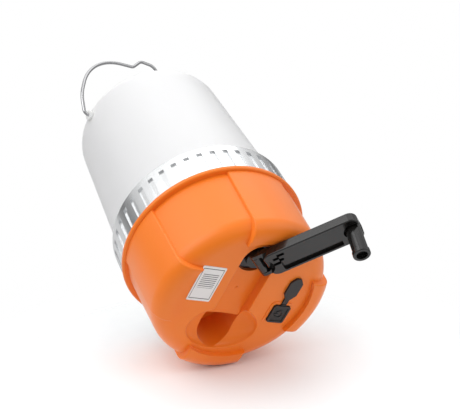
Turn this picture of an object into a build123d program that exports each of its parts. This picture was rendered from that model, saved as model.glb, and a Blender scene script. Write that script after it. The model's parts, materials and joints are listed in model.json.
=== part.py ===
"""Wind-up camping lantern: orange base with a folding crank and dynamo, chrome ring, milky
diffuser and wire bail.  Millimetres, +Z up, origin on the lamp's axis in the plane of its feet.
The crank is modelled folded out and turned, with the bail leaning to one side."""
from build123d import *
import math
import os

os.makedirs("parts", exist_ok=True)

# ---------------------------------------------------------------- driving dimensions
# base housing
foot_height = 3.0           # the pads stand this far below the bottom panel
foot_proud = 1.6            # and this far out from the side
foot_half_width = 19.5
foot_inner_radii = (43.6, 46.0, 46.4, 43.6)   # inner ends of the pads, from +X round; further out by the crank
base_height = 54.5          # feet to the seat of the chrome ring
rim_radius = 60.0
rim_height = 3.2
side_radius_top = 56.5
side_radius_bottom = 54.4
edge_radius = 10.0
foot_edge_radius = 9.0
wall = 2.4
pad_round = 0.9             # rounding of the pads' long edges
bay_round = 0.6             # and of the channel's and the dish's rims

# crank bay in the bottom
bay_y = 4.5                 # centre line of channel, hub and knob pocket
channel_width = 23.4
channel_depth = 6.4
channel_end_x = 17.2        # the floor ends here and the knob pocket begins
pocket_end_x = 39.6
dish_x = 23.4
dish_half_x = 16.2
dish_half_y = 24.0
dish_depth = 7.5
well_radius = 11.4
well_depth = 12.0

# crank
hub_x = -27.6
hinge_z = 3.0               # hinge pin above the feet plane
crank_length = 56.4         # hinge pin to knob axis
crank_width = 19.2
crank_thickness = 6.0
crank_back = 0.2            # the arm's back lies this far behind the pin's centre
arm_web = 1.9
tray_depth = 1.6            # the arm's long shallow recess
arm_end_margin = 4.8        # the arm's end beyond the knob's axis, past the knob's radius
arm_corner = 5.0
arm_round = 0.8
arm_rim = 1.8
ear_radius = 2.8
ear_thickness = 2.6
hinge_pin_radius = 1.25
crank_azimuth = 216.0       # where the arm points, from +X
crank_tilt = 13.0           # the open arm leans this far out from the bottom
knob_length = 22.0
knob_radius = 4.5
knob_collar_radius = 5.0
knob_bore_radius = 3.2
knob_post_radius = 2.4
hub_column_radius = 6.6
hub_disc_height = 3.2
hub_shaft_radius = 3.0

# dynamo gearing
first_module, first_gear_teeth, first_pinion_teeth = 0.7, 36, 12
second_module, second_gear_teeth, second_pinion_teeth = 0.6, 36, 10
gear_width = 2.5
first_mesh_azimuth = -60.0
second_mesh_azimuth = -20.0
backlash = 0.22             # taken off each tooth's width
plate_thickness = 1.4
axle_radius = 1.0
rotor_shaft_radius = 0.9
dynamo_radius = 12.0
dynamo_height = 13.6
pillar_radius = 2.6
screw_radius = 1.1
screw_reach = 5.6           # into the post below the gearbox
board_screw_reach = 2.8
deck_screw_reach = 8.0

# ring, diffuser and light
ring_height = 21.9
ring_radius_bottom = 59.1
ring_radius_top = 59.5
ring_wall = 1.5
slot_count = 45
slot_width = 3.4
slot_depth = 0.9
slot_top_gap = 4.8          # plain band above the slots
diffuser_radius_bottom = 56.1
diffuser_radius_top = 52.7
diffuser_height = 129.8     # above the base
diffuser_wall = 2.0
diffuser_edge = 6.5
deck_thickness = 2.0
led_board_radius = 24.0
led_count = 12
led_ring_radius = 17.0

# bail
wire_radius = 1.15
bail_azimuth = 96.0
bail_swing = -23.0
bail_drop = 7.8             # pivot below the diffuser's top
bail_half_width = 58.0
bail_height = 68.0
hook_height = 8.0
hook_half_width = 13.0
boss_radius = 3.4
boss_proud = 2.2

# rubber button, port cover, socket and board
button_x, button_y = 7.5, -28.4
button_size_x, button_size_y = 13.0, 12.0
button_proud = 1.2
button_frame = 1.3          # raised edge of the button
mark_depth = 0.45           # the power mark stands in the hollow inside it
bezel_margin = 2.2
bezel_proud = 0.5
cover_length, cover_width = 15.8, 8.8
cover_gap = 4.0             # from the cover to its root
strap_width = 3.6
root_length = 1.6           # the strap's fixed end
strap_thickness = 1.0
knuckle_gap = 0.2           # between the strap's round end and its root
rubber_thickness = 1.4
socket_x_size, socket_y_size, socket_height = 8.0, 3.0, 5.6
board_thickness = 1.6
board_z = 10.8

# label and battery
label_x, label_y = -8.3, 30.8
label_length, label_width, label_thickness = 25.2, 15.6, 0.3
cell_radius, cell_length = 9.2, 65.0
cell_y, cell_z = 28.8, 24.6

# clearances
running = 0.05              # radial, shafts and pins
slide_gap = 0.35
seat_gap = 0.1

# ---------------------------------------------------------------- derived places
panel_z = foot_height                       # outer face of the bottom panel
floor_z = panel_z + wall                    # inner face
channel_floor_z = panel_z + channel_depth
well_floor_z = panel_z + well_depth
well_top_z = well_floor_z + 1.6
knob_reach = arm_web - crank_back + knob_length
pocket_floor_z = hinge_z + knob_reach + 1.6
knob_x = hub_x + crank_length
hub_centre = (hub_x, bay_y)
first_distance = first_module * (first_gear_teeth + first_pinion_teeth) / 2
second_distance = second_module * (second_gear_teeth + second_pinion_teeth) / 2


def polar(centre, radius, azimuth):
    """The point at a distance and an azimuth from another."""
    a = math.radians(azimuth)
    return (centre[0] + radius * math.cos(a), centre[1] + radius * math.sin(a))


layshaft = polar(hub_centre, first_distance, first_mesh_azimuth)
rotor = polar(layshaft, second_distance, second_mesh_azimuth)
lower_plate_z = well_top_z
gear_z = lower_plate_z + plate_thickness + 0.6
upper_plate_z = gear_z + 2 * gear_width + 1.6
second_gear_z = gear_z + gear_width + 0.5
pillars = [polar(hub_centre, 16.4, 188), polar(hub_centre, 16.6, 235), polar(rotor, 15.6, 42)]
deck_z = base_height
ring_z = base_height
diffuser_z = deck_z + deck_thickness + 1.0
diffuser_top = base_height + diffuser_height + 1.0
pivot_z = diffuser_top - bail_drop
cover_root_x = button_x - button_size_x / 2 - seat_gap - root_length
socket_x = cover_root_x - cover_gap - cover_length / 2

saved = {}


# ---------------------------------------------------------------- helpers
def cyl(radius, z0, z1, at=(0, 0)):
    """An upright cylinder between two heights."""
    return Pos(at[0], at[1], z0) * Cylinder(radius, z1 - z0, align=(Align.CENTER, Align.CENTER, Align.MIN))


def tube(outer, inner, z0, z1, at=(0, 0)):
    return cyl(outer, z0, z1, at) - cyl(inner, z0 - 1, z1 + 1, at)


def block(x0, x1, y0, y1, z0, z1):
    """A box between opposite corners."""
    return Pos((x0 + x1) / 2, (y0 + y1) / 2, (z0 + z1) / 2) * Box(x1 - x0, y1 - y0, z1 - z0)


def turned(points, rounds=None):
    """A solid of revolution about Z from an (r, z) outline; rounds maps a point's index to a radius."""
    face = make_face(Polyline(*points, close=True))
    for index, radius in (rounds or {}).items():
        corner = min(face.vertices(), key=lambda v: (v.center() - Vector(*points[index], 0)).length)
        face = fillet(corner, radius)
    return revolve(Plane.XZ * face, Axis.Z)


def slab(outline, z0, z1):
    """A flat sketch raised between two heights."""
    return Pos(0, 0, z0) * extrude(outline, z1 - z0)


def save(name, shape, colour):
    """Write one node and keep its solid for the pieces that fit to it."""
    shape.label = name
    shape.color = Color(*colour)
    saved[name] = shape
    export_step(shape, os.path.join("parts", name + ".step"))


ORANGE = (0.91, 0.42, 0.10)
BLACK = (0.10, 0.10, 0.10)
CHROME = (0.80, 0.81, 0.82)
STEEL = (0.62, 0.63, 0.64)
MILK = (0.95, 0.95, 0.93)
WHITE = (0.93, 0.93, 0.93)
BRASS = (0.78, 0.62, 0.30)
GREEN = (0.08, 0.36, 0.20)
NYLON = (0.90, 0.88, 0.80)
COPPER = (0.72, 0.40, 0.20)


# ---------------------------------------------------------------- base housing
def side_profile(offset, drop, bottom_round, top_z):
    """A solid of the base's outer shape, moved out sideways by offset and down by drop."""
    lowest = panel_z - drop
    points = [(0, lowest), (side_radius_bottom + offset, lowest), (side_radius_top + offset, top_z), (0, top_z)]
    return turned(points, {1: bottom_round})


def foot_pads():
    """Four pads that wrap from the side over the edge on to the bottom."""
    skin = side_profile(foot_proud, foot_height, foot_edge_radius, base_height - rim_height)
    pads = Part()
    for turn in range(4):
        outline = Pos(rim_radius, 0) * Rectangle(2 * rim_radius, 2 * foot_half_width)
        bottom = slab(outline - Circle(foot_inner_radii[turn]), -1, panel_z + 0.6)
        side = slab(outline - Circle(side_radius_bottom - edge_radius - 1), 0.5, base_height)
        pad = skin & (bottom + side)
        pads += Rot(0, 0, 90 * turn) * fillet(pad_edges(pad), pad_round)
    return pads


def pad_edges(pad):
    """The long outer edges at both sides of a pad: across the bottom, round the corner and up the side."""
    edges = []
    for edge in pad.edges():
        middle = edge.center()
        at_side = abs(abs(middle.Y) - foot_half_width) < 0.01 and middle.X > side_radius_bottom - edge_radius - 4
        if at_side and (edge.geom_type != GeomType.LINE or abs(middle.Z) < 0.01):
            edges.append(edge)
    return edges


def round_rim(blank):
    """Round the edges that lie in the bottom panel's outer face."""
    rims = []
    for edge in blank.edges():
        box = edge.bounding_box()
        level = abs(box.max.Z - panel_z) < 0.001 and abs(box.min.Z - panel_z) < 0.001
        if level and max(abs(edge.center().X), abs(edge.center().Y)) < rim_radius - 1:
            rims.append(edge)
    return fillet(rims, bay_round)


def hollow(blank, cut):
    """What a cut takes out of a blank that stands on the panel's face, with a rounded rim."""
    return blank - round_rim(blank - cut)


def bay_outline(grow):
    """Channel from the hub to the far end of the knob pocket, grown by a wall."""
    width = channel_width + 2 * grow
    straight = Pos((hub_x + pocket_end_x) / 2, bay_y) * Rectangle(pocket_end_x - hub_x - channel_width, width)
    near = Pos(hub_x, bay_y) * Circle(width / 2)
    link = Pos((hub_x + channel_end_x) / 2, bay_y) * Rectangle(channel_end_x - hub_x, width)
    far = Pos(pocket_end_x - channel_width / 2, bay_y) * Circle(width / 2)
    return near + link + straight + far


def pocket_outline(grow):
    """The deep end of the bay, where the knob goes."""
    keep = block(channel_end_x - grow, rim_radius, -rim_radius, rim_radius, -1, 1)
    return bay_outline(grow) & section(keep, section_by=Plane.XY)


def dish(grow):
    """The hollow for two fingers, an ellipsoid centred on the bottom panel."""
    ball = scale(Sphere(1), by=(dish_half_x + grow, dish_half_y + grow, dish_depth + grow))
    return Pos(dish_x, bay_y - 0.5, panel_z) * ball


def bezel_outline(grow):
    return RectangleRounded(button_size_x + 2 * grow, button_size_y + 2 * grow, 1.5 + grow)


def base_housing():
    body = side_profile(0, 0, edge_radius, base_height)
    body += turned([(0, base_height - rim_height), (rim_radius, base_height - rim_height),
                    (rim_radius, base_height), (0, base_height)], {1: 1.4, 2: 1.0})
    body += foot_pads()
    body -= turned([(0, floor_z), (side_radius_bottom - wall, floor_z), (side_radius_top - wall, base_height + 1),
                    (0, base_height + 1)], {1: edge_radius - wall})
    # walls around the hollows of the crank bay, kept inside the housing's skin
    lining = slab(bay_outline(wall - 0.4), panel_z, channel_floor_z + wall - 0.4)
    lining += slab(pocket_outline(wall - 0.4), panel_z, pocket_floor_z + wall - 0.4)
    lining += cyl(well_radius + 2.0, panel_z, well_top_z, hub_centre)
    lining += dish(wall - 0.4) & block(-rim_radius, rim_radius, -rim_radius, rim_radius, panel_z, base_height)
    for post in pillars:
        lining += cyl(pillar_radius, panel_z + 1, lower_plate_z, post)
    for post in board_posts():
        lining += cyl(2.2, panel_z + 1, board_z, post)
    for post in deck_posts():
        lining += cyl(3.2, panel_z + 1, deck_z - 0.1, post)
    for x in (-26, 26):
        lining += block(x - 1.5, x + 1.5, cell_y - 8, cell_y + 4, panel_z, cell_z - cell_radius - 1.8)
    body += lining & side_profile(-0.5, -0.2, edge_radius, base_height - 0.1)
    # the hollows themselves
    blank = block(-rim_radius, rim_radius, -rim_radius, rim_radius, panel_z, channel_floor_z + 3)
    body -= hollow(blank, slab(bay_outline(0), -1, channel_floor_z))
    body -= hollow(blank, dish(0))
    body -= slab(bay_outline(0), -1, panel_z)
    body -= slab(pocket_outline(0), -1, pocket_floor_z)
    body -= cyl(well_radius, -1, well_floor_z, hub_centre)
    body -= cyl(hub_shaft_radius + 2.0, 0, well_top_z + 1, hub_centre)
    # raised bezel around the rubber button, its hole, and the port
    body += Pos(button_x, button_y) * slab(bezel_outline(bezel_margin), panel_z - bezel_proud, panel_z + 0.5)
    body -= Pos(button_x, button_y) * slab(bezel_outline(slide_gap), -1, floor_z + 1)
    body -= Pos(socket_x, button_y) * slab(RectangleRounded(socket_x_size + 0.6, socket_y_size + 0.6, 1), -1, floor_z + 1)
    body -= block(cover_root_x - cover_gap - 1, cover_root_x + 1.4, button_y - strap_width / 2 - slide_gap,
                  button_y + strap_width / 2 + slide_gap, 0, panel_z - 0.001)
    for post, top, depth in screw_holes():
        body -= cyl(screw_radius, top - depth, top + 1, post)
    body += cyl(0.9, channel_floor_z - 0.4, channel_floor_z + 0.5, (-3, bay_y))
    save("base_housing", body, ORANGE)


def board_posts():
    return [(socket_x - 9.5, button_y + 1.5), (button_x + 10.5, button_y + 3)]


def deck_posts():
    return [polar((0, 0), 47.0, azimuth) for azimuth in (20, 158, 214, 322)]


def screw_holes():
    """Every blind hole for a screw from above: place, top and depth."""
    holes = [(post, lower_plate_z, screw_reach + 0.4) for post in pillars]
    holes += [(post, board_z, board_screw_reach + 0.4) for post in board_posts()]
    return holes + [(post, deck_z, deck_screw_reach + 0.4) for post in deck_posts()]


def bottom_trim():
    """Hub bush and label."""
    bush = tube(hub_shaft_radius + 2.0, hub_shaft_radius + running, well_floor_z, lower_plate_z, hub_centre)
    save("hub_bush", bush, BRASS)
    label = Pos(label_x, label_y) * slab(RectangleRounded(label_length, label_width, 0.8),
                                         panel_z - label_thickness, panel_z)
    save("label", label, WHITE)


# ---------------------------------------------------------------- crank
def place_crank(shape):
    """Move a piece from the stowed position to the open and turned one."""
    about = Pos(hub_x, bay_y, hinge_z)
    return about * Rot(0, 0, crank_azimuth - 180) * Rot(0, 180 - crank_tilt, 0) * about.inverse() * shape


def turn_hub(shape):
    """Move a piece of the hub with the arm's azimuth."""
    return Pos(hub_x, bay_y, 0) * Rot(0, 0, crank_azimuth - 180) * Pos(-hub_x, -bay_y, 0) * shape


def cross_cylinder(radius, half_length, x, z):
    """A cylinder along Y, centred on the bay's centre line."""
    return Pos(x, bay_y, z) * Rot(90, 0, 0) * Cylinder(radius, 2 * half_length)


def crank():
    inner = crank_width / 2 - ear_thickness
    hub = cyl(well_radius - 0.5, well_floor_z - 0.4 - hub_disc_height, well_floor_z - 0.4, hub_centre)
    hub += cyl(hub_column_radius, hinge_z + ear_radius + 0.4, well_floor_z - 1, hub_centre)
    barrel = cross_cylinder(ear_radius, inner - slide_gap, hub_x, hinge_z)
    lug = block(hub_x - ear_radius, hub_x + ear_radius, bay_y - inner + slide_gap, bay_y + inner - slide_gap,
                hinge_z, hinge_z + ear_radius + 1)
    hub += barrel + (lug & cyl(hub_column_radius, 0, 20, hub_centre))
    hub += cyl(hub_shaft_radius, well_floor_z - 1, upper_plate_z - 0.4, hub_centre)
    hub += cyl(hub_shaft_radius - 1, upper_plate_z - 1, upper_plate_z + plate_thickness, hub_centre)
    hub -= cross_cylinder(hinge_pin_radius + running, inner + 1, hub_x, hinge_z)
    save("crank_hub", turn_hub(hub), BLACK)

    pin = cross_cylinder(hinge_pin_radius, crank_width / 2 - 0.5, hub_x, hinge_z)
    save("hinge_pin", place_crank(pin), STEEL)

    back = hinge_z - crank_back
    rim_z = back + crank_thickness
    end_x = knob_x + arm_end_margin
    plate = Pos((hub_x + end_x) / 2 + 2, bay_y) * RectangleRounded(end_x - hub_x - 4, crank_width, arm_corner)
    arm = slab(plate, back, rim_z)
    arm = fillet(arm.edges().filter_by(Axis.Z, reverse=True), arm_round)
    tray = Pos((hub_x + 12 + knob_x - 8) / 2, bay_y) * RectangleRounded(
        knob_x - 8 - hub_x - 12, crank_width - 2 * arm_rim, 1.2)
    arm -= slab(tray, rim_z - tray_depth, rim_z + 1)
    nest = Pos(knob_x, bay_y) * Circle(knob_collar_radius + 0.6)
    arm -= slab(nest, back + arm_web, rim_z + 1)
    ears = cross_cylinder(ear_radius, crank_width / 2, hub_x, hinge_z)
    ears += block(hub_x, hub_x + 8, bay_y - crank_width / 2, bay_y + crank_width / 2, back, hinge_z + ear_radius)
    arm += ears
    # a half-round recess for the hub's column, open right through only beside the barrel
    mouth = Pos(hub_x + 1, bay_y) * Circle(inner) + Pos(hub_x - 4, bay_y) * Rectangle(10, 2 * inner)
    arm -= slab(mouth, back + arm_web - 0.5, rim_z + 1)
    arm -= block(hub_x - 9, hub_x + ear_radius + 0.6, bay_y - inner, bay_y + inner, back - 5, rim_z + 1)
    arm -= slab(Pos(hub_x + 10, bay_y) * SlotOverall(9, 2.2), back + arm_web, rim_z + 1)
    arm -= block(hub_x + 9, hub_x + 16, bay_y + 3.2, bay_y + 5.2, back + arm_web, rim_z + 1)
    arm -= cross_cylinder(hinge_pin_radius + 0.01, crank_width / 2 - 0.5, hub_x, hinge_z)
    arm += cyl(knob_post_radius + 1.6, back, back + arm_web + 0.6, (knob_x, bay_y))
    arm -= cyl(knob_post_radius + 0.01, back - 1, rim_z, (knob_x, bay_y))
    save("crank_arm", place_crank(arm), BLACK)

    seat = back + arm_web + 0.6 + seat_gap
    top = seat + knob_length - 0.8
    knob = cyl(knob_radius, seat, top, (knob_x, bay_y))
    knob += cyl(knob_collar_radius, top - 2.6, top, (knob_x, bay_y))
    knob = fillet(knob.edges().filter_by(GeomType.CIRCLE).group_by(Axis.Z)[-1], 0.5)
    knob -= cyl(knob_bore_radius, top - 6.5, top + 1, (knob_x, bay_y))
    knob -= cyl(knob_post_radius + running, seat - 1, top - 5.5, (knob_x, bay_y))
    save("crank_knob", place_crank(knob), BLACK)

    post = cyl(knob_post_radius, back + 0.3, top - 6.2 + seat_gap, (knob_x, bay_y))
    post += cyl(knob_bore_radius - 0.3, top - 6.2 - 0.2 + seat_gap, top - 5.0, (knob_x, bay_y))
    save("knob_axle", place_crank(post), STEEL)


# ---------------------------------------------------------------- gears and dynamo
def gear_outline(module, teeth, phase):
    """A spur gear with straight-sided teeth, short enough to run freely on small pinions."""
    pitch_radius = module * teeth / 2
    root, tip = pitch_radius - 1.2 * module, pitch_radius + 0.85 * module
    half = (math.pi * module - backlash * 2) / 4 / pitch_radius
    points = []
    for tooth in range(teeth):
        middle = 2 * math.pi * tooth / teeth + math.radians(phase)
        for radius, share in ((root, -1.55), (pitch_radius, -1.0), (tip, -0.42), (tip, 0.42), (pitch_radius, 1.0),
                              (root, 1.55)):
            turn = middle + share * half
            points.append((radius * math.cos(turn), radius * math.sin(turn)))
    return make_face(Polyline(*points, close=True))


def gear(module, teeth, phase, z0, z1, at, bore):
    body = Pos(at[0], at[1], z0) * extrude(gear_outline(module, teeth, phase), z1 - z0)
    return body - cyl(bore, z0 - 1, z1 + 1, at)


def mesh_phase(azimuth, driver_teeth, driver_phase, driven_teeth):
    """The driven gear's phase that puts a gap where the driver has a tooth on the line of centres."""
    pitch_share = ((azimuth - driver_phase) / (360 / driver_teeth)) % 1
    return azimuth + 180 + 360 / driven_teeth * (0.5 + pitch_share)


def gearing():
    drive = gear(first_module, first_gear_teeth, 0, gear_z, gear_z + gear_width, hub_centre, hub_shaft_radius + 0.01)
    drive += tube(hub_shaft_radius + 1.8, hub_shaft_radius + 0.01, gear_z, gear_z + gear_width + 2.0, hub_centre)
    save("drive_gear", drive, NYLON)

    first_phase = mesh_phase(first_mesh_azimuth, first_gear_teeth, 0, first_pinion_teeth)
    compound = gear(first_module, first_pinion_teeth, first_phase, gear_z - 0.2, second_gear_z + 0.1, layshaft,
                    axle_radius + running)
    compound += gear(second_module, second_gear_teeth, 0, second_gear_z, second_gear_z + gear_width, layshaft,
                     axle_radius + running)
    save("compound_gear", compound, NYLON)

    second_phase = mesh_phase(second_mesh_azimuth, second_gear_teeth, 0, second_pinion_teeth)
    pinion = gear(second_module, second_pinion_teeth, second_phase, second_gear_z - 0.2,
                  second_gear_z + gear_width + 0.2, rotor, rotor_shaft_radius)
    save("dynamo_pinion", pinion, BRASS)


def gearbox():
    circles = [Pos(*hub_centre) * Circle(12), Pos(*layshaft) * Circle(9), Pos(*rotor) * Circle(dynamo_radius + 1)]
    circles += [Pos(*post) * Circle(pillar_radius + 1.2) for post in pillars]
    outline = make_hull([edge for circle in circles for edge in circle.edges()])
    lower = slab(outline, lower_plate_z, lower_plate_z + plate_thickness)
    lower -= cyl(hub_shaft_radius + running, 0, 60, hub_centre)
    lower -= cyl(axle_radius, 0, 60, layshaft)
    lower -= cyl(rotor_shaft_radius + running, 0, 60, rotor)
    upper = slab(outline, upper_plate_z, upper_plate_z + plate_thickness)
    upper -= cyl(hub_shaft_radius - 1 + running, 0, 60, hub_centre)
    upper -= cyl(axle_radius, 0, 60, layshaft)
    upper -= cyl(rotor_shaft_radius + running, 0, 60, rotor)
    screws, tubes = [], []
    for post in pillars:
        hole = cyl(screw_radius + seat_gap, 0, 60, post)
        lower, upper = lower - hole, upper - hole
        tubes.append(tube(pillar_radius, screw_radius + seat_gap, lower_plate_z + plate_thickness, upper_plate_z, post))
        head_z = upper_plate_z + plate_thickness
        shank = cyl(screw_radius, lower_plate_z - screw_reach, head_z + 0.1, post)
        head = cyl(screw_radius + 1.0, head_z, head_z + 1.5, post)
        cross = Pos(post[0], post[1], head_z + 1.2) * (Box(2.4, 0.5, 1.2) + Box(0.5, 2.4, 1.2))
        screws.append(shank + head - cross)
    save("gearbox_plate_lower", lower, STEEL)
    save("gearbox_plate_upper", upper, STEEL)
    save("gearbox_pillars", Compound(children=tubes), STEEL)
    save("gearbox_screws", Compound(children=screws), STEEL)
    axle = cyl(axle_radius, lower_plate_z, upper_plate_z + plate_thickness, layshaft)
    save("layshaft_pin", axle, STEEL)
    tip_z = upper_plate_z + plate_thickness
    clip = tube(hub_shaft_radius - 0.2, 1.2, tip_z + 0.15, tip_z + 0.95, hub_centre)
    clip -= block(hub_x, hub_x + 5, bay_y - 0.8, bay_y + 0.8, tip_z, tip_z + 2)
    save("hub_clip", turn_hub(clip), STEEL)


def dynamo():
    base_z = upper_plate_z + plate_thickness
    can = cyl(dynamo_radius, base_z, base_z + dynamo_height, rotor)
    can -= cyl(dynamo_radius - 1.0, base_z - 1, base_z + dynamo_height - 1.0, rotor)
    can -= cyl(rotor_shaft_radius + running, 0, 90, rotor)
    save("dynamo_can", can, STEEL)
    coil = tube(dynamo_radius - 1.2, 7.4, base_z + 1.4, base_z + dynamo_height - 2.2, rotor)
    save("dynamo_coil", coil, COPPER)
    magnet = tube(6.9, rotor_shaft_radius, base_z + 1.8, base_z + dynamo_height - 2.6, rotor)
    save("dynamo_magnet", magnet, BLACK)
    shaft = cyl(rotor_shaft_radius, lower_plate_z + 0.2, base_z + dynamo_height + 0.6, rotor)
    save("dynamo_shaft", shaft, STEEL)


# ---------------------------------------------------------------- board, battery, rubber
def electronics():
    posts = board_posts()
    board = block(posts[0][0] - 3, posts[1][0] + 3, button_y - 6.5, button_y + 7.5, board_z, board_z + board_thickness)
    for post in posts:
        board -= cyl(screw_radius + seat_gap, 0, 60, post)
    save("main_board", board, GREEN)
    screws = []
    for post in posts:
        top = board_z + board_thickness
        screws.append(cyl(screw_radius, board_z - board_screw_reach, top + 0.1, post) + cyl(screw_radius + 0.9, top, top + 1.2, post))
    save("board_screws", Compound(children=screws), STEEL)
    shell_z = board_z - socket_height
    socket = block(socket_x - socket_x_size / 2, socket_x + socket_x_size / 2, button_y - socket_y_size / 2,
                   button_y + socket_y_size / 2, shell_z, board_z)
    socket -= block(socket_x - socket_x_size / 2 + 0.4, socket_x + socket_x_size / 2 - 0.4,
                    button_y - socket_y_size / 2 + 0.4, button_y + socket_y_size / 2 - 0.4, shell_z - 1, board_z - 0.8)
    save("usb_socket", socket, STEEL)
    tongue = block(socket_x - 2.6, socket_x + 2.6, button_y - 0.35, button_y + 0.35, shell_z + 0.6, board_z - 0.8)
    save("usb_tongue", tongue, BLACK)
    plunger_z = panel_z + wall + 0.6
    switch = block(button_x - 3, button_x + 3, button_y - 3, button_y + 3, plunger_z + 1.7, board_z)
    save("tact_switch", switch, BLACK)
    chip = block(-6.0, -1.4, button_y - 2.4, button_y + 2.4, board_z + board_thickness, board_z + board_thickness + 1.2)
    save("charge_chip", chip, BLACK)


def battery():
    cell = Pos(0, cell_y, cell_z) * Rot(0, 90, 0) * (Cylinder(cell_radius, cell_length)
                                                     + Pos(0, 0, cell_length / 2) * Cylinder(2.6, 1.6))
    save("battery_cell", cell, (0.20, 0.34, 0.62))
    half, side = cell_length / 2, cell_radius + 1.4
    holder = block(-half - 2.9, half + 2.9, cell_y - side, cell_y + side - 4.6, cell_z - cell_radius - 1.8, cell_z + 2)
    holder -= Pos(0, cell_y, cell_z) * Rot(0, 90, 0) * Cylinder(cell_radius + 0.3, cell_length + 3.4)
    holder -= block(-half - 1.7, half + 1.7, cell_y - cell_radius - 0.3, cell_y + cell_radius + 0.3, cell_z, cell_z + 3)
    save("battery_holder", holder, BLACK)
    contacts = []
    for side_sign in (-1, 1):
        inner = half + (0.8 if side_sign > 0 else 0.0)
        plate = block(inner, half + 1.7, cell_y - 4, cell_y + 4, cell_z - 4, cell_z + 6)
        contacts.append(plate if side_sign > 0 else mirror(plate, Plane.YZ))
    save("battery_contacts", Compound(children=contacts), STEEL)


def button_and_cover():
    cap = Pos(button_x, button_y) * slab(bezel_outline(0), panel_z - button_proud - bezel_proud, panel_z + wall - 0.4)
    cap += Pos(button_x, button_y) * slab(bezel_outline(1.2), floor_z + 0.3, floor_z + 1.2) & block(
        cover_root_x + 1.0, 60, -60, 0, 0, 60)
    cap += cyl(1.6, floor_z - 1, panel_z + wall + 1.5, (button_x, button_y))
    face_z = panel_z - button_proud - bezel_proud
    cap -= Pos(button_x, button_y) * slab(bezel_outline(-button_frame), face_z - 1, face_z + mark_depth)
    mark = Pos(button_x, button_y) * slab(Circle(2.9) - Circle(2.1), face_z, face_z + mark_depth + 0.1)
    mark -= block(button_x - 1.2, button_x + 1.2, button_y + 1, button_y + 4, -2, 6)
    mark += block(button_x - 0.4, button_x + 0.4, button_y + 0.8, button_y + 3.6, face_z, face_z + mark_depth + 0.1)
    save("power_button", cap + mark, BLACK)

    half_x, half_y, nose = cover_length / 2, cover_width / 2, 3.4
    outline = make_face(Polyline((-half_x, -1.6), (-half_x + nose, -half_y), (half_x - nose, -half_y),
                                 (half_x, -strap_width / 2), (half_x, strap_width / 2), (half_x - nose, half_y),
                                 (-half_x + nose, half_y), (-half_x, 1.6), close=True))
    cover = Pos(socket_x, button_y) * slab(outline, panel_z - seat_gap - rubber_thickness, panel_z - seat_gap)
    low, high = button_y - strap_width / 2, button_y + strap_width / 2
    strap_z = panel_z - seat_gap - strap_thickness
    cover += block(socket_x + half_x - 0.5, cover_root_x, low, high, strap_z, strap_z + strap_thickness)
    cover += Pos(cover_root_x, button_y, strap_z + strap_thickness / 2) * Rot(90, 0, 0) * Cylinder(
        strap_thickness / 2, strap_width)
    plug = Pos(socket_x, button_y) * slab(RectangleRounded(socket_x_size - 2.4, socket_y_size - 1.6, 0.5),
                                          panel_z - seat_gap - 0.2, board_z - socket_height - 0.2)
    save("port_cover", cover + plug, BLACK)
    root = block(cover_root_x + strap_thickness / 2 + knuckle_gap, cover_root_x + root_length, low, high, strap_z, panel_z)
    save("cover_root", root, BLACK)


# ---------------------------------------------------------------- deck, light, ring, diffuser
def deck():
    top = deck_z + deck_thickness
    plate = cyl(ring_radius_bottom - ring_wall - 0.6, deck_z, top)
    screws = []
    for post in deck_posts():
        plate -= cyl(screw_radius + seat_gap, 0, 90, post)
        screws.append(cyl(screw_radius, deck_z - deck_screw_reach, top + 0.1, post) + cyl(screw_radius + 1.1, top, top + 1.5, post))
    plate -= cyl(3, 0, 90)
    save("deck_plate", plate, WHITE)
    save("deck_screws", Compound(children=screws), STEEL)
    seal = tube(diffuser_radius_bottom + 1.4, diffuser_radius_bottom - 2.6, top, diffuser_z)
    save("seal_ring", seal, BLACK)
    dish_ring = turned([(led_board_radius + 0.4, top), (led_board_radius + 1.6, top), (42.0, top + 9),
                        (42.0, top + 10.2), (40.9, top + 10.2), (led_board_radius + 0.4, top + 1.4)])
    save("reflector", dish_ring, WHITE)
    board = cyl(led_board_radius, top, top + 1.6) - cyl(3, 0, 90)
    save("led_board", board, WHITE)
    lights = []
    for number in range(led_count):
        at = polar((0, 0), led_ring_radius, 360 * number / led_count)
        lights.append(block(at[0] - 1.75, at[0] + 1.75, at[1] - 1.4, at[1] + 1.4, top + 1.6, top + 2.5))
    save("led_emitters", Compound(children=lights), (0.96, 0.90, 0.55))


def chrome_ring():
    top = ring_z + ring_height
    ring = turned([(ring_radius_bottom, ring_z), (ring_radius_top, top), (diffuser_radius_bottom + 0.25, top),
                   (diffuser_radius_bottom + 0.25, top - 1.2), (ring_radius_top - ring_wall, top - 1.2),
                   (ring_radius_bottom - ring_wall, ring_z)], {1: 0.7})
    for number in range(slot_count):
        groove = block(ring_radius_bottom - slot_depth, ring_radius_top + 1, -slot_width / 2, slot_width / 2,
                       ring_z - 1, top - slot_top_gap)
        ring -= Rot(0, 0, (number + 0.71) * 360 / slot_count) * groove
    save("chrome_ring", ring, CHROME)


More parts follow.
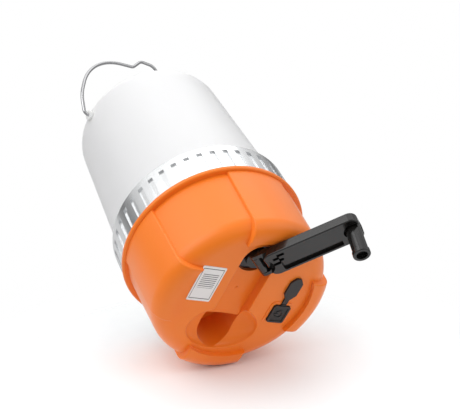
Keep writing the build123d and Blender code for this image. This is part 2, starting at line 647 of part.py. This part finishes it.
def diffuser():
    taper = (diffuser_radius_bottom - diffuser_radius_top) / diffuser_height
    outer = turned([(0, diffuser_z), (diffuser_radius_bottom, diffuser_z), (diffuser_radius_top, diffuser_top),
                    (0, diffuser_top)], {2: diffuser_edge})
    inner = turned([(0, diffuser_z - 1), (diffuser_radius_bottom - diffuser_wall, diffuser_z - 1),
                    (diffuser_radius_top - diffuser_wall, diffuser_top - diffuser_wall),
                    (0, diffuser_top - diffuser_wall)], {2: diffuser_edge - diffuser_wall})
    flange = tube(diffuser_radius_bottom + 1.3, diffuser_radius_bottom - 1, diffuser_z, diffuser_z + 2.5)
    wall_radius = diffuser_radius_bottom - taper * (pivot_z - diffuser_z)
    for side in (0, 180):
        spot = Rot(0, 0, bail_azimuth + side) * Pos(wall_radius - 5, 0, pivot_z) * Rot(0, 90, 0)
        boss = spot * Cylinder(boss_radius, 5 + boss_proud, align=(Align.CENTER, Align.CENTER, Align.MIN))
        outer += boss
        inner -= spot * Cylinder(boss_radius, 20, align=(Align.CENTER, Align.CENTER, Align.MIN))
    shade = outer - inner + flange
    for side in (0, 180):
        spot = Rot(0, 0, bail_azimuth + side) * Pos(wall_radius - 6, 0, pivot_z) * Rot(0, 90, 0)
        shade -= spot * Cylinder(wire_radius + 0.08, 20, align=(Align.CENTER, Align.CENTER, Align.MIN))
    save("diffuser", shade, MILK)
    return wall_radius


def bail(wall_radius):
    """The wire: straight pivots, bowed legs and a hook kink in the middle, swung to one side."""
    half, top = bail_half_width, bail_height
    leg = [(wall_radius - 4.6, 0), (half, 0), (half + 1.6, top * 0.24), (half * 0.93, top * 0.58),
           (half * 0.62, top * 0.83), (hook_half_width, top - hook_height - 0.6)]
    crown = [(hook_half_width * 0.42, top), (-hook_half_width * 0.42, top)]
    points = leg + crown + [(-x, y) for x, y in reversed(leg)]
    radii = [3.4, 40, 40, 40, 5, 6, 6, 5, 40, 40, 40, 3.4]
    path = FilletPolyline(*points, radius=radii)
    start = Plane(origin=path @ 0, z_dir=path % 0)
    wire = sweep(start * Circle(wire_radius), path=path)
    upright = Pos(0, 0, pivot_z) * Rot(0, 0, bail_azimuth) * Rot(90 + bail_swing, 0, 0)
    save("bail", upright * wire, CHROME)


base_housing()
bottom_trim()
crank()
gearing()
gearbox()
dynamo()
electronics()
battery()
button_and_cover()
deck()
chrome_ring()
bail(diffuser())
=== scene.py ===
"""Looks of the wind-up camping lantern: finishes, small details, floor, light and camera.
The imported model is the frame.  Metres, +Z up, the lamp's axis on Z and its feet at Z = 0."""
import functools
import json
import math

import bpy
from mathutils import Matrix, Vector


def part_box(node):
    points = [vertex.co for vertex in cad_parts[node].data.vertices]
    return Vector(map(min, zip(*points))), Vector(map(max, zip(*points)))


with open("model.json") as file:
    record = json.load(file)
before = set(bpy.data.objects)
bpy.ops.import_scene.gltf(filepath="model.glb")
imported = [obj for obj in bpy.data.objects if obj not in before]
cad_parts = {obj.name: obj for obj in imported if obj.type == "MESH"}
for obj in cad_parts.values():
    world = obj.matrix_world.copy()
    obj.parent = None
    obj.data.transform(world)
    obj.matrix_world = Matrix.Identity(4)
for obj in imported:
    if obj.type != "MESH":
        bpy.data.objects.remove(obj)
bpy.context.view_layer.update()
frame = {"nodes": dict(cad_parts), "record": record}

MM = 0.001
GRAIN_DEPTH = 0.2 * MM

# ---------------------------------------------------------------- camera, floor and light: driving values
CAMERA_AIM = Vector((-16.5, -13.5, 77.3)) * MM
CAMERA_DISTANCE = 579.3 * MM
CAMERA_AZIMUTH = math.radians(129.2)    # where the camera stands, from +X
CAMERA_ELEVATION = math.radians(-45.5)  # below the lamp, looking up at its underside
CAMERA_ROLL = math.radians(31.1)
FOCAL_LENGTH = 70.4
SENSOR_WIDTH = 36.0
TOWARDS_CAMERA = Vector((math.cos(CAMERA_ELEVATION) * math.cos(CAMERA_AZIMUTH),
                         math.cos(CAMERA_ELEVATION) * math.sin(CAMERA_AZIMUTH), math.sin(CAMERA_ELEVATION)))

FLOOR_UP = Vector((-0.874, 0.283, 0.395)).normalized()  # the lamp is shown tipped over on to its base's edge
FLOOR_RADIUS = 0.75
FLOOR_FADE = (0.055, 0.20)    # full to nothing, from the point it stands on
FLOOR_COLOUR = (0.93, 0.96, 0.975, 1)

LABEL_RULES_AT, LABEL_RULES_REACH, LABEL_RULES_PER_HALF = -0.18, 0.42, 9.0   # in halves of the label's length
LABEL_RULES_WIDTH, LABEL_RULE_SHARE = 0.66, 0.34    # of the half width, and of each rule's pitch
LABEL_FRAME = (0.84, 0.88)                           # its printed line, in halves
LABEL_INK = (0.06, 0.06, 0.06, 1)


TENT_STRENGTH = 0.90
TENT_BANDS = ((0.42, 0.80), (0.50, 0.16), (0.56, 0.22), (0.66, 0.72))   # place up the tent, and its shade
KEY_POWER, FILL_POWER, TOP_POWER = 5.4, 2.4, 3.0


# ---------------------------------------------------------------- node helpers
def new_material(name):
    """A material with an empty tree but for its Principled BSDF and output."""
    material = bpy.data.materials.new(name)
    material.use_nodes = True
    tree = material.node_tree
    tree.nodes.clear()
    shader = tree.nodes.new("ShaderNodeBsdfPrincipled")
    output = tree.nodes.new("ShaderNodeOutputMaterial")
    tree.links.new(shader.outputs["BSDF"], output.inputs["Surface"])
    return material, tree, shader


def texture_space(tree, scale=(1, 1, 1)):
    """Object coordinates, stretched."""
    coordinates = tree.nodes.new("ShaderNodeTexCoord")
    mapping = tree.nodes.new("ShaderNodeMapping")
    mapping.inputs["Scale"].default_value = scale
    tree.links.new(coordinates.outputs["Object"], mapping.inputs["Vector"])
    return mapping.outputs["Vector"]


def math_step(tree, operation, first, second=None):
    """A Math node over numbers or sockets; gives its output."""
    node = tree.nodes.new("ShaderNodeMath")
    node.operation = operation
    for slot, value in enumerate((first, second)):
        if isinstance(value, (int, float)):
            node.inputs[slot].default_value = value
        elif value is not None:
            tree.links.new(value, node.inputs[slot])
    return node.outputs[0]


def surface_group():
    """A shader group that gives a moulded or plated surface its fine variation.

    It mixes a broad tone change into the colour, a finer one into the roughness, and makes a grain height."""
    group = bpy.data.node_groups.new("surface_variation", "ShaderNodeTree")
    face = group.interface
    for name, kind, value in (("Vector", "NodeSocketVector", None), ("Color", "NodeSocketColor", (0.8, 0.8, 0.8, 1)),
                              ("Tone Scale", "NodeSocketFloat", 20.0), ("Tone Amount", "NodeSocketFloat", 0.06),
                              ("Roughness", "NodeSocketFloat", 0.4), ("Roughness Spread", "NodeSocketFloat", 0.08),
                              ("Grain Scale", "NodeSocketFloat", 900.0)):
        socket = face.new_socket(name, in_out="INPUT", socket_type=kind)
        if value is not None:
            socket.default_value = value
    face.new_socket("Color", in_out="OUTPUT", socket_type="NodeSocketColor")
    face.new_socket("Roughness", in_out="OUTPUT", socket_type="NodeSocketFloat")
    face.new_socket("Height", in_out="OUTPUT", socket_type="NodeSocketFloat")
    nodes, links = group.nodes, group.links
    given, result = nodes.new("NodeGroupInput"), nodes.new("NodeGroupOutput")
    tone = nodes.new("ShaderNodeTexNoise")
    tone.inputs["Detail"].default_value = 3.0
    links.new(given.outputs["Vector"], tone.inputs["Vector"])
    links.new(given.outputs["Tone Scale"], tone.inputs["Scale"])
    centred = nodes.new("ShaderNodeMath")
    centred.operation = "SUBTRACT"
    centred.inputs[1].default_value = 0.5
    links.new(tone.outputs["Fac"], centred.inputs[0])
    amount = nodes.new("ShaderNodeMath")
    amount.operation = "MULTIPLY_ADD"
    amount.inputs[2].default_value = 1.0
    links.new(centred.outputs[0], amount.inputs[0])
    links.new(given.outputs["Tone Amount"], amount.inputs[1])
    colour = nodes.new("ShaderNodeVectorMath")
    colour.operation = "SCALE"
    links.new(given.outputs["Color"], colour.inputs[0])
    links.new(amount.outputs[0], colour.inputs["Scale"])
    links.new(colour.outputs["Vector"], result.inputs["Color"])
    smear = nodes.new("ShaderNodeTexNoise")
    smear.inputs["Scale"].default_value = 140.0
    smear.inputs["Detail"].default_value = 5.0
    links.new(given.outputs["Vector"], smear.inputs["Vector"])
    spread = nodes.new("ShaderNodeMath")
    spread.operation = "MULTIPLY_ADD"
    links.new(smear.outputs["Fac"], spread.inputs[0])
    links.new(given.outputs["Roughness Spread"], spread.inputs[1])
    links.new(given.outputs["Roughness"], spread.inputs[2])
    links.new(spread.outputs[0], result.inputs["Roughness"])
    grain = nodes.new("ShaderNodeTexNoise")
    grain.inputs["Detail"].default_value = 2.0
    links.new(given.outputs["Vector"], grain.inputs["Vector"])
    links.new(given.outputs["Grain Scale"], grain.inputs["Scale"])
    links.new(grain.outputs["Fac"], result.inputs["Height"])
    return group


VARIATION = surface_group()


def finish_material(name, colour, roughness, spread=0.08, tone=0.06, tone_scale=20.0, grain=0.05, grain_scale=900.0,
                    stretch=(1, 1, 1), metallic=0.0, **sockets):
    """A finish whose colour, roughness and relief all vary a little over the surface."""
    material, tree, shader = new_material(name)
    variation = tree.nodes.new("ShaderNodeGroup")
    variation.node_tree = VARIATION
    tree.links.new(texture_space(tree, stretch), variation.inputs["Vector"])
    for socket, value in (("Color", (*colour, 1)), ("Tone Scale", tone_scale), ("Tone Amount", tone),
                          ("Roughness", roughness), ("Roughness Spread", spread), ("Grain Scale", grain_scale)):
        variation.inputs[socket].default_value = value
    tree.links.new(variation.outputs["Color"], shader.inputs["Base Color"])
    tree.links.new(variation.outputs["Roughness"], shader.inputs["Roughness"])
    bump = tree.nodes.new("ShaderNodeBump")
    bump.inputs["Strength"].default_value = grain
    bump.inputs["Distance"].default_value = GRAIN_DEPTH
    tree.links.new(variation.outputs["Height"], bump.inputs["Height"])
    tree.links.new(bump.outputs["Normal"], shader.inputs["Normal"])
    shader.inputs["Metallic"].default_value = metallic
    for socket, value in sockets.items():
        shader.inputs[socket.replace("_", " ").title().replace("Ior", "IOR")].default_value = value
    return material


def orange_shell():
    return finish_material("orange_shell", (0.89, 0.195, 0.005), 0.33, spread=0.10, tone=0.08, tone_scale=14,
                           grain=0.10, grain_scale=1400, coat_weight=0.06, coat_roughness=0.25,
                           specular_ior_level=0.36, sheen_weight=0.22, sheen_roughness=0.45,
                           subsurface_weight=0.06, subsurface_radius=(0.004, 0.0015, 0.0005), subsurface_scale=0.5)


def crank_black():
    return finish_material("crank_black", (0.008, 0.0072, 0.0065), 0.16, spread=0.10, tone=0.3, grain=0.06,
                           grain_scale=1100, coat_weight=0.2, coat_roughness=0.08, specular_ior_level=0.4)


def chrome_trim():
    return finish_material("chrome_trim", (0.86, 0.87, 0.88), 0.20, spread=0.08, tone=0.04, tone_scale=40,
                           grain=0.03, grain_scale=500, metallic=1.0)


def wire_chrome():
    return finish_material("wire_chrome", (0.42, 0.42, 0.43), 0.16, spread=0.08, tone=0.08, tone_scale=60,
                           grain=0.05, grain_scale=700, metallic=1.0)


def milk_diffuser():
    return finish_material("milk_diffuser", (0.92, 0.92, 0.905), 0.38, spread=0.08, tone=0.02, tone_scale=12,
                           grain=0.06, grain_scale=1200, subsurface_weight=0.5,
                           subsurface_radius=(0.02, 0.02, 0.018), subsurface_scale=1.0)


def soft_black():
    return finish_material("soft_black", (0.013, 0.0105, 0.010), 0.46, spread=0.15, tone=0.3, grain=0.25,
                           grain_scale=1600, sheen_weight=0.05)


def label_film():
    """Silver film with a printed frame and plain rules, and no lettering."""
    material = finish_material("label_film", (0.78, 0.77, 0.76), 0.34, spread=0.1, tone=0.05, grain=0.05,
                               stretch=(1, 8, 1), metallic=0.15)
    tree = material.node_tree
    low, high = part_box("label")
    centre = [(low[axis] + high[axis]) / 2 for axis in (0, 1)]
    half = [(high[axis] - low[axis]) / 2 for axis in (0, 1)]
    place = tree.nodes.new("ShaderNodeSeparateXYZ")
    tree.links.new(texture_space(tree), place.inputs["Vector"])

    step = functools.partial(math_step, tree)
    along = step("DIVIDE", step("SUBTRACT", place.outputs["X"], centre[0]), half[0])
    across = step("DIVIDE", step("SUBTRACT", place.outputs["Y"], centre[1]), half[1])
    reach = step("MAXIMUM", step("ABSOLUTE", along), step("ABSOLUTE", across))
    frame_line = step("MULTIPLY", step("GREATER_THAN", reach, LABEL_FRAME[0]), step("LESS_THAN", reach, LABEL_FRAME[1]))
    inside = step("MULTIPLY", step("LESS_THAN", step("ABSOLUTE", across), LABEL_RULES_WIDTH),
                  step("LESS_THAN", step("ABSOLUTE", step("SUBTRACT", along, LABEL_RULES_AT)), LABEL_RULES_REACH))
    rules = step("LESS_THAN", step("FRACT", step("MULTIPLY", along, LABEL_RULES_PER_HALF)), LABEL_RULE_SHARE)
    printed = step("MAXIMUM", frame_line, step("MULTIPLY", inside, rules))
    ink = tree.nodes.new("ShaderNodeMix")
    ink.data_type = "RGBA"
    shader = tree.nodes["Principled BSDF"]
    source = shader.inputs["Base Color"].links[0].from_socket
    tree.links.new(printed, ink.inputs["Factor"])
    tree.links.new(source, ink.inputs["A"])
    ink.inputs["B"].default_value = LABEL_INK
    tree.links.new(ink.outputs["Result"], shader.inputs["Base Color"])
    return material


def steel_parts():
    return finish_material("steel_parts", (0.62, 0.62, 0.64), 0.25, spread=0.15, tone=0.08, grain=0.08,
                           grain_scale=300, stretch=(1, 1, 6), metallic=1.0)


def brass_parts():
    return finish_material("brass_parts", (0.80, 0.58, 0.26), 0.25, metallic=1.0, tone=0.1)


def copper_wire():
    return finish_material("copper_wire", (0.62, 0.27, 0.11), 0.3, metallic=1.0, tone=0.2, grain=0.6,
                           grain_scale=220, stretch=(0.1, 0.1, 8))


def gear_nylon():
    return finish_material("gear_nylon", (0.86, 0.83, 0.74), 0.4, subsurface_weight=0.2)


def magnet_black():
    return finish_material("magnet_black", (0.05, 0.05, 0.055), 0.5, grain=0.3, grain_scale=700)


def board_green():
    return finish_material("board_green", (0.02, 0.16, 0.07), 0.3, tone=0.5, tone_scale=300, grain=0.1)


def inner_black():
    return finish_material("inner_black", (0.03, 0.03, 0.03), 0.45)


def white_inner():
    return finish_material("white_inner", (0.86, 0.86, 0.85), 0.4)


def led_white():
    return finish_material("led_white", (0.93, 0.78, 0.30), 0.35)


def cell_wrap():
    return finish_material("cell_wrap", (0.05, 0.14, 0.36), 0.25, coat_weight=0.3)


FINISHES = {"orange_shell": orange_shell, "crank_black": crank_black, "chrome_trim": chrome_trim,
            "milk_diffuser": milk_diffuser, "wire_chrome": wire_chrome, "soft_black": soft_black,
            "label_film": label_film, "steel_parts": steel_parts, "brass_parts": brass_parts,
            "copper_wire": copper_wire, "gear_nylon": gear_nylon, "magnet_black": magnet_black,
            "board_green": board_green, "inner_black": inner_black, "white_inner": white_inner,
            "led_white": led_white, "cell_wrap": cell_wrap}
MATERIALS = {slot: make() for slot, make in FINISHES.items()}


def dress_frame():
    """Every node of the frame gets the finish of its material slot."""
    for row in frame["record"]["subparts"]:
        shape = frame["nodes"][row["node"]]
        shape.data.materials.clear()
        shape.data.materials.append(MATERIALS[row["material_slot"]])


# ---------------------------------------------------------------- floor, light and camera
def lowest_point():
    """How far the base reaches down along the floor's normal."""
    return min(FLOOR_UP.dot(corner.co) for corner in frame["nodes"]["base_housing"].data.vertices)


def floor():
    """A pale floor that meets the tipped lamp's lowest edge; it fades out with distance and isn't seen from below."""
    bpy.ops.object.select_all(action="DESELECT")
    bpy.ops.mesh.primitive_circle_add(vertices=96, radius=FLOOR_RADIUS, fill_type="NGON",
                                      location=FLOOR_UP * lowest_point(),
                                      rotation=FLOOR_UP.to_track_quat("Z", "Y").to_euler())
    disc = bpy.context.object
    disc.name = "floor"
    material, tree, shader = new_material("floor_white")
    shader.inputs["Base Color"].default_value = FLOOR_COLOUR
    shader.inputs["Roughness"].default_value = 0.9
    coordinates = tree.nodes.new("ShaderNodeTexCoord")
    reach = tree.nodes.new("ShaderNodeVectorMath")
    reach.operation = "LENGTH"
    tree.links.new(coordinates.outputs["Object"], reach.inputs[0])
    fade = tree.nodes.new("ShaderNodeMapRange")
    fade.interpolation_type = "SMOOTHSTEP"
    for socket, value in (("From Min", FLOOR_FADE[0]), ("From Max", FLOOR_FADE[1]), ("To Min", 1.0), ("To Max", 0.0)):
        fade.inputs[socket].default_value = value
    tree.links.new(reach.outputs["Value"], fade.inputs["Value"])
    back = tree.nodes.new("ShaderNodeNewGeometry")
    front = tree.nodes.new("ShaderNodeMath")
    front.operation = "SUBTRACT"
    front.inputs[0].default_value = 1.0
    tree.links.new(back.outputs["Backfacing"], front.inputs[1])
    seen = tree.nodes.new("ShaderNodeMath")
    seen.operation = "MULTIPLY"
    tree.links.new(fade.outputs["Result"], seen.inputs[0])
    tree.links.new(front.outputs[0], seen.inputs[1])
    tree.links.new(seen.outputs[0], shader.inputs["Alpha"])
    disc.data.materials.append(material)


def area_light(name, direction, distance, size, power, colour=(1, 1, 1)):
    """A square soft light that stands off in a direction and faces the lamp."""
    data = bpy.data.lights.new(name, "AREA")
    data.size = size
    data.energy = power
    data.color = colour
    light = bpy.data.objects.new(name, data)
    bpy.context.scene.collection.objects.link(light)
    towards = Vector(direction).normalized()
    light.location = CAMERA_AIM + towards * distance
    light.rotation_euler = towards.to_track_quat("Z", "Y").to_euler()
    return light


def studio_world():
    """White where the camera looks past the lamp, and a softer white tent with darker bands for light and gloss."""
    bpy.context.scene.view_settings.view_transform = "Standard"
    world = bpy.data.worlds.new("studio")
    bpy.context.scene.world = world
    world.use_nodes = True
    tree = world.node_tree
    tree.nodes.clear()
    coordinates = tree.nodes.new("ShaderNodeTexCoord")
    height = tree.nodes.new("ShaderNodeVectorMath")
    height.operation = "DOT_PRODUCT"
    height.inputs[1].default_value = FLOOR_UP
    tree.links.new(coordinates.outputs["Generated"], height.inputs[0])
    bands = tree.nodes.new("ShaderNodeValToRGB")
    ramp = bands.color_ramp
    ramp.elements[0].position, ramp.elements[0].color = 0.0, (0.55, 0.55, 0.56, 1)
    ramp.elements[1].position, ramp.elements[1].color = 1.0, (1.0, 1.0, 1.0, 1)
    for position, shade in TENT_BANDS:
        step = ramp.elements.new(position)
        step.color = (shade, shade, shade, 1)
    remap = tree.nodes.new("ShaderNodeMapRange")
    remap.inputs["From Min"].default_value = -1.0
    tree.links.new(height.outputs["Value"], remap.inputs["Value"])
    tree.links.new(remap.outputs["Result"], bands.inputs["Fac"])
    tent = tree.nodes.new("ShaderNodeBackground")
    tree.links.new(bands.outputs["Color"], tent.inputs["Color"])
    tent.inputs["Strength"].default_value = TENT_STRENGTH
    backdrop = tree.nodes.new("ShaderNodeBackground")
    backdrop.inputs["Strength"].default_value = 1.0
    backdrop.inputs["Color"].default_value = (1, 1, 1, 1)
    sight = tree.nodes.new("ShaderNodeLightPath")
    mix = tree.nodes.new("ShaderNodeMixShader")
    tree.links.new(sight.outputs["Is Camera Ray"], mix.inputs["Fac"])
    tree.links.new(tent.outputs["Background"], mix.inputs[1])
    tree.links.new(backdrop.outputs["Background"], mix.inputs[2])
    output = tree.nodes.new("ShaderNodeOutputWorld")
    tree.links.new(mix.outputs["Shader"], output.inputs["Surface"])


def lights():
    """Key softbox high on the left of the view, a fill from the right and one that lifts the underside."""
    view = TOWARDS_CAMERA
    right = FLOOR_UP.cross(view).normalized()
    above = view.cross(right).normalized()
    area_light("key", view * 0.7 - right * 0.9 + above * 0.9, 1.0, 0.9, KEY_POWER)
    area_light("fill", view * 0.5 + right * 1.0 + above * 0.5, 1.0, 0.9, FILL_POWER)
    area_light("top", above * 1.0 - view * 0.25, 1.0, 1.0, TOP_POWER)


def camera():
    """Stands off from the aim point along its azimuth and elevation, rolled about its line of sight."""
    data = bpy.data.cameras.new("camera")
    data.lens = FOCAL_LENGTH
    data.sensor_width = SENSOR_WIDTH
    data.clip_start = 0.01
    eye = bpy.data.objects.new("camera", data)
    bpy.context.scene.collection.objects.link(eye)
    level = TOWARDS_CAMERA.to_track_quat("Z", "Y").to_matrix().to_4x4()
    eye.matrix_world = (Matrix.Translation(CAMERA_AIM + TOWARDS_CAMERA * CAMERA_DISTANCE) @ level
                        @ Matrix.Rotation(-CAMERA_ROLL, 4, "Z"))
    bpy.context.scene.camera = eye


camera()
studio_world()
lights()
floor()
dress_frame()
